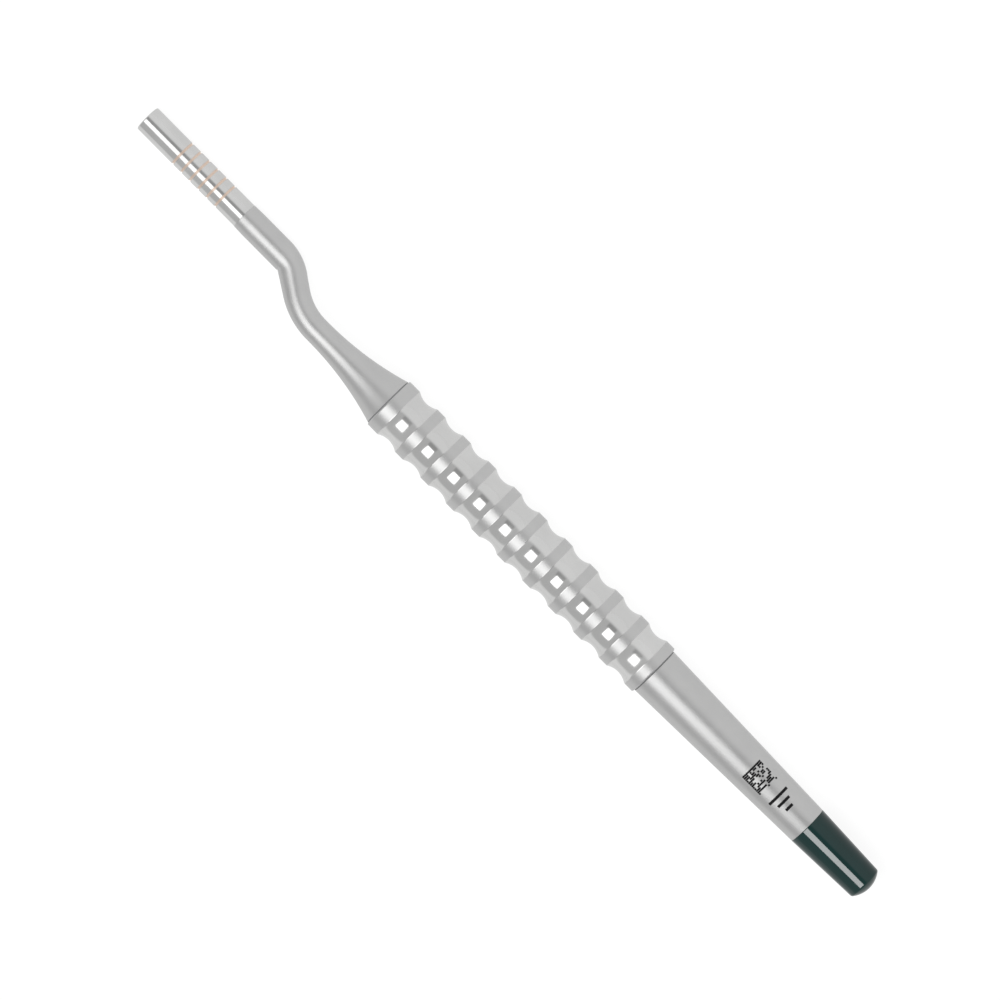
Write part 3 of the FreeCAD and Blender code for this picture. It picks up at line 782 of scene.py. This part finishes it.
# %% A material and its shader
def new_material(name, base, metallic=0.0, roughness=0.5):
    material = bpy.data.materials.new(name)
    material.use_nodes = True
    tree = material.node_tree
    shader = tree.nodes["Principled BSDF"]
    shader.inputs["Base Color"].default_value = (*base, 1)
    shader.inputs["Metallic"].default_value = metallic
    shader.inputs["Roughness"].default_value = roughness
    return material, tree, shader


def place_group(tree, group, **values):
    node = tree.nodes.new("ShaderNodeGroup")
    node.node_tree = group
    for key, value in values.items():
        node.inputs[key.replace("_", " ")].default_value = value
    return node


def relief(tree, shader, height, depth):
    """Feeds a height, in units of depth metres, to the shader's normal."""
    bump = add(tree, "Bump", {"Height": height, "Distance": depth, "Strength": 1.0})
    tree.links.new(bump.outputs["Normal"], shader.inputs["Normal"])


def vary(tree, shader, name, base, change, mask):
    """base + change * mask on one of the shader's inputs."""
    value = maths(tree, "ADD", maths(tree, "MULTIPLY", mask, change), base)
    tree.links.new(value, shader.inputs[name])


def tint(tree, shader, dark, light, mask):
    mix = add(tree, "Mix", {"Factor": mask}, data_type="RGBA")
    mix.inputs["A"].default_value = (*dark, 1)
    mix.inputs["B"].default_value = (*light, 1)
    tree.links.new(mix.outputs["Result"], shader.inputs["Base Color"])


# %% [markdown]
# The tip and the hollows are polished with a belt, so they get turning lines, very shallow. The
# rest of the steel is blasted, and its grain is fifteen times deeper. Two different metals would be
# wrong: it is one steel, and only the last tool that touched it differs.

# %% Polished and satin steel
POLISH_DEPTH = 0.0004 * MM
BLAST_DEPTH = 0.006 * MM


def make_polished_steel():
    material, tree, shader = new_material("polished_steel", (0.63, 0.63, 0.62), 1, 0.13)
    lines = place_group(tree, turning_lines, Lines_per_mm=14.0)
    used = place_group(tree, handling, Scratch_amount=0.8)
    relief(tree, shader, lines.outputs["Height"], POLISH_DEPTH)
    gloss = maths(tree, "ADD", used.outputs["Smudge"], used.outputs["Scratch"])
    vary(tree, shader, "Roughness", 0.13, 0.06, gloss)
    tint(tree, shader, (0.62, 0.62, 0.615), (0.66, 0.66, 0.655), used.outputs["Smudge"])
    return material


def make_satin_steel():
    material, tree, shader = new_material("satin_steel", (0.54, 0.54, 0.54), 1, 0.38)
    grain = place_group(tree, blast_grain, Grains_per_mm=9.0)
    used = place_group(tree, handling, Scratch_amount=0.5)
    relief(tree, shader, grain.outputs["Height"], BLAST_DEPTH)
    vary(tree, shader, "Roughness", 0.34, 0.08, grain.outputs["Patches"])
    tint(tree, shader, (0.50, 0.50, 0.50), (0.56, 0.56, 0.555), grain.outputs["Patches"])
    return material


polished_steel = make_polished_steel()
satin_steel = make_satin_steel()
print("steel finishes made")


# %% [markdown]
# The cap is a dark green gloss: almost all that we see of it is reflection, so its base colour is
# nearly black. The colour in the depth marks is a hard skin-coloured lacquer over bright metal,
# which a little Metallic tells. The laser mark is matt, or it would shine grey where the lamp is.

# %% Colour, rubber and the mark
def make_cap_green():
    material, tree, shader = new_material("cap_green", (0.0, 0.016, 0.015), 0, 0.07)
    shader.inputs["IOR"].default_value = 1.45
    used = place_group(tree, handling, Scratch_amount=1.0)
    grain = place_group(tree, blast_grain, Grains_per_mm=1.2)
    gloss = maths(tree, "ADD", used.outputs["Smudge"], used.outputs["Scratch"])
    vary(tree, shader, "Roughness", 0.05, 0.07, gloss)
    relief(tree, shader, grain.outputs["Height"], 0.0007 * MM)
    tint(tree, shader, (0.0, 0.013, 0.012), (0.0, 0.019, 0.018), grain.outputs["Patches"])
    return material


def make_mark_colour():
    material, tree, shader = new_material("mark_colour", (0.77, 0.62, 0.51), 0.4, 0.3)
    grain = place_group(tree, blast_grain, Grains_per_mm=6.0)
    tint(tree, shader, (0.70, 0.55, 0.45), (0.84, 0.70, 0.60), grain.outputs["Patches"])
    relief(tree, shader, grain.outputs["Height"], 0.004 * MM)
    return material


def make_rubber():
    material, tree, shader = new_material("seal_rubber", (0.24, 0.24, 0.245), 0, 0.55)
    grain = place_group(tree, blast_grain, Grains_per_mm=5.0)
    tint(tree, shader, (0.21, 0.21, 0.215), (0.27, 0.27, 0.275), grain.outputs["Patches"])
    relief(tree, shader, grain.outputs["Height"], 0.004 * MM)
    return material


def make_laser_black():
    material, tree, shader = new_material("laser_black", (0.008, 0.008, 0.009), 0, 0.5)
    shader.inputs["Specular IOR Level"].default_value = 0.12
    grain = place_group(tree, blast_grain, Grains_per_mm=10.0)
    tint(tree, shader, (0.004, 0.004, 0.005), (0.012, 0.012, 0.012), grain.outputs["Height"])
    relief(tree, shader, grain.outputs["Height"], 0.003 * MM)
    return material


def make_inner_steel():
    material, tree, shader = new_material("inner_steel", (0.5, 0.5, 0.51), 1, 0.4)
    lines = place_group(tree, turning_lines, Lines_per_mm=4.0)
    relief(tree, shader, lines.outputs["Height"], 0.006 * MM)
    vary(tree, shader, "Roughness", 0.3, 0.2, lines.outputs["Height"])
    return material


cap_green, mark_colour = make_cap_green(), make_mark_colour()
rubber, laser_black, inner_steel = make_rubber(), make_laser_black(), make_inner_steel()
print("other finishes made")

# %% [markdown]
# ## Dress the pieces
#
# The grip takes two finishes. Its rings are blasted, and the hollows were turned and polished
# afterwards, so the border between them is as sharp as the edge itself. A mesh can hold several
# materials, and every face says which one it wears.

# %% Dress and place the pieces
dressed = {
    tip: (polished_steel, "polished_steel", ["working_tip"]),
    enamel: (mark_colour, "mark_colour", ["depth_mark_enamel"]),
    shank: (satin_steel, "satin_steel", ["bayonet_shank"]),
    grip: (satin_steel, "grip_steel", ["grip_sleeve"]),
    tail: (satin_steel, "satin_steel", ["tail_sleeve"]),
    cap: (cap_green, "cap_green", ["strike_cap"]),
    front_seal: (rubber, "seal_rubber", ["front_seal"]),
    rear_seal: (rubber, "seal_rubber", ["rear_seal"]),
    mark: (laser_black, "satin_steel", []),
}
for piece, (material, slot, nodes) in dressed.items():
    piece.data.materials.append(material)
    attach(piece, "root")
    if nodes:
        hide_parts(*nodes)

grip.data.materials.append(polished_steel)
OUTSIDE = 1.2 * BORE
polished_faces = 0
for face in grip.data.polygons:
    distance = (face.center - handle - FORWARD * face.center.x).length
    in_hollow = any(abs(face.center.x - place) < round_reach for place in hollows)
    if in_hollow and distance > OUTSIDE:
        face.material_index = 1
        polished_faces += 1
INNER_FINISHES = {
    "tie_rod": inner_steel,
    "shank_dowel": inner_steel,
    "anti_turn_pin": inner_steel,
    "lock_washer": inner_steel,
    "clamp_nut": inner_steel,
    "cap_seal": rubber,
}
for node, material in INNER_FINISHES.items():
    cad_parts[node].data.materials.clear()
    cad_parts[node].data.materials.append(material)
print(f"{len(dressed)} pieces dressed, {polished_faces} polished faces on the grip")

# %% [markdown]
# ## Floor, light and camera
#
# Polished steel shows its surroundings more than itself, so the light is half of its look. The
# set is a small light tent: a softbox straight above the grip, a bright room all round, and a
# darker band of room beside the softbox. In each hollow of the grip the softbox becomes one little
# white window, and along the tip one white line with a dark line beside it.
#
# The table is a plain white sheet. In a light tent it is lit from every side, also through the
# cloth below, so it glows a little, and the instrument throws hardly any shadow. The camera sees it
# slightly brighter than the steel does, which keeps it white without bleaching the steel.

# %% The floor
REACH = 6.0
FLOOR_GLOW = 0.72
FLOOR_EXTRA = 0.16
floor_mesh = bpy.data.meshes.new("floor")
floor_mesh.from_pydata(
    [(-REACH, -REACH, 0), (REACH, -REACH, 0), (REACH, REACH, 0), (-REACH, REACH, 0)],
    [], [(0, 1, 2, 3)],
)
floor = bpy.data.objects.new("floor", floor_mesh)
bpy.context.scene.collection.objects.link(floor)
floor_white, floor_tree, floor_shader = new_material("floor_white", (0.2, 0.2, 0.2), 0, 0.9)
floor_shader.inputs["Specular IOR Level"].default_value = 0
floor_shader.inputs["Emission Color"].default_value = (1, 1, 1, 1)
floor_seen = add(floor_tree, "LightPath").outputs["Is Camera Ray"]
vary(floor_tree, floor_shader, "Emission Strength", FLOOR_GLOW, FLOOR_EXTRA, floor_seen)
floor.data.materials.append(floor_white)

# %% [markdown]
# Catalogue pictures are often put together from several exposures, each with the lamp moved to suit
# one part. *Light linking* does the same in one go: a lamp with a receiver collection lights only
# the objects in it. So the tip and the cap each get a softbox of their own, placed so that its
# reflection is a line as wide and as long as it should be. The dark cap reflects only a few
# hundredths of what it sees, so its box is much brighter. None of the boxes is seen directly.

# %% The softboxes
LAMP_HEIGHT = 244 * MM
HANDLE_X = CONE_REAR - 9.75 * MM
CAP_X = CAP_REAR - 27 * MM


def add_softbox(name, centre_x, centre_y, length, width, radiance, lit):
    """A rectangular softbox above the table, facing down, that lights only the objects in lit."""
    lamp = bpy.data.lights.new(name, "AREA")
    lamp.shape = "RECTANGLE"
    lamp.size, lamp.size_y = length, width
    lamp.energy = radiance * math.pi * length * width
    box = bpy.data.objects.new(name, lamp)
    bpy.context.scene.collection.objects.link(box)
    box.location = (centre_x, centre_y, handle.z + LAMP_HEIGHT)
    box.visible_camera = False
    receivers = bpy.data.collections.new("lit_by_" + name)
    for obj in lit:
        receivers.objects.link(obj)
    box.light_linking.receiver_collection = receivers


with_own_box = [tip, enamel, cap]
inside = [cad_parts[name] for name in INNER_FINISHES]
others = [piece for piece in dressed if piece not in with_own_box] + inside + [floor]
SOFTBOXES = [
    # name, centre along X and Y, length, width, radiance, what it lights
    ("handle_box", HANDLE_X, -5 * MM, 225 * MM, 190 * MM, 1.58, others),
    ("tip_box", HANDLE_X, -26 * MM, 225 * MM, 130 * MM, 1.35, [tip, enamel]),
    ("cap_box", CAP_X, -26 * MM, 130 * MM, 136 * MM, 11, [cap]),
]
for softbox in SOFTBOXES:
    add_softbox(*softbox)
print(f"{len(SOFTBOXES)} softboxes, {LAMP_HEIGHT / MM:.0f} mm above the handle's axis")

# %% [markdown]
# The room is the world's background, and its brightness depends on the direction only. Across the
# instrument there is a dimmer band just past overhead, which gives the tip and the hollows their
# grey side, and a dark bar where the camera stands, which gives the line its dark edge. The camera
# itself sees pure white instead.

# %% The room
world = bpy.data.worlds.new("tent")
bpy.context.scene.world = world
world.use_nodes = True
sky = world.node_tree
room = sky.nodes["Background"]
ROOM_LEVEL, BAND_LEVEL, BAR_LEVEL = 0.93, 0.62, 0.40
BAND_PAST_OVERHEAD = math.radians(9)
BAND_EDGE = (0.50, 0.62)
BAR_EDGE = (0.975, 0.99)
BAR_HALF_LENGTH = (0.42, 0.52)

direction = add(sky, "TexCoord").outputs["Generated"]
across = add(sky, "VectorMath", {0: direction, 1: (0, 1, 1)}, operation="MULTIPLY").outputs[0]
across = add(sky, "VectorMath", {0: across}, operation="NORMALIZE").outputs[0]
band_way = Vector((0, math.sin(BAND_PAST_OVERHEAD), math.cos(BAND_PAST_OVERHEAD)))
band = add(sky, "VectorMath", {0: across, 1: band_way}, operation="DOT_PRODUCT").outputs["Value"]
level = spread(sky, band, *BAND_EDGE, ROOM_LEVEL, BAND_LEVEL)
facing = add(sky, "VectorMath", {0: across, 1: FACE_ON}, operation="DOT_PRODUCT").outputs["Value"]
sideways = maths(sky, "ABSOLUTE", add(sky, "SeparateXYZ", {0: direction}).outputs["X"])
narrow = spread(sky, facing, *BAR_EDGE, 0.0, 1.0)
short = spread(sky, sideways, *BAR_HALF_LENGTH, 1.0, 0.0)
bar = maths(sky, "MULTIPLY", narrow, short)
lit = maths(sky, "MULTIPLY", level, spread(sky, bar, 0.0, 1.0, 1.0, BAR_LEVEL / BAND_LEVEL))
seen = add(sky, "LightPath").outputs["Is Camera Ray"]
sky.links.new(maths(sky, "MAXIMUM", lit, seen), room.inputs["Strength"])
room.inputs["Color"].default_value = (1, 1, 1, 1)
bpy.context.scene.view_settings.view_transform = "Standard"
print(f"room {ROOM_LEVEL}, band {BAND_LEVEL}, bar {BAR_LEVEL}")

# %% [markdown]
# The camera looks square on to the plane of the bayonet, so the offset shows in full. It is rolled
# so that the handle runs down to the right at 45 degrees, and it stands almost a metre off behind a
# long lens, as is usual for small products, so that the rings hardly change in size.

# %% The camera
CAMERA_DISTANCE = 920 * MM
FRAME_WIDTH = 166.7 * MM
HANDLE_SLOPE = math.radians(45.27)
AIM_BEHIND_CONE = 24.75 * MM
AIM_ASIDE = 1.79 * MM
backwards = FACE_ON if FACE_ON.z > 0 else -FACE_ON
along = -FORWARD
right = along * math.cos(HANDLE_SLOPE) + AWAY * math.sin(HANDLE_SLOPE)
up = AWAY * math.cos(HANDLE_SLOPE) - along * math.sin(HANDLE_SLOPE)
aim = handle + FORWARD * (CONE_REAR - AIM_BEHIND_CONE) + AWAY * AIM_ASIDE
lens = bpy.data.cameras.new("camera")
lens.lens = lens.sensor_width * CAMERA_DISTANCE / FRAME_WIDTH
lens.clip_start, lens.clip_end = 0.01, 100
camera = bpy.data.objects.new("camera", lens)
bpy.context.scene.collection.objects.link(camera)
turned = Matrix((right, up, backwards)).transposed().to_4x4()
camera.matrix_world = Matrix.Translation(aim + backwards * CAMERA_DISTANCE) @ turned
bpy.context.scene.camera = camera
print(f"lens {lens.lens:.0f} mm, elevation {math.degrees(math.asin(backwards.z)):.1f} degrees")
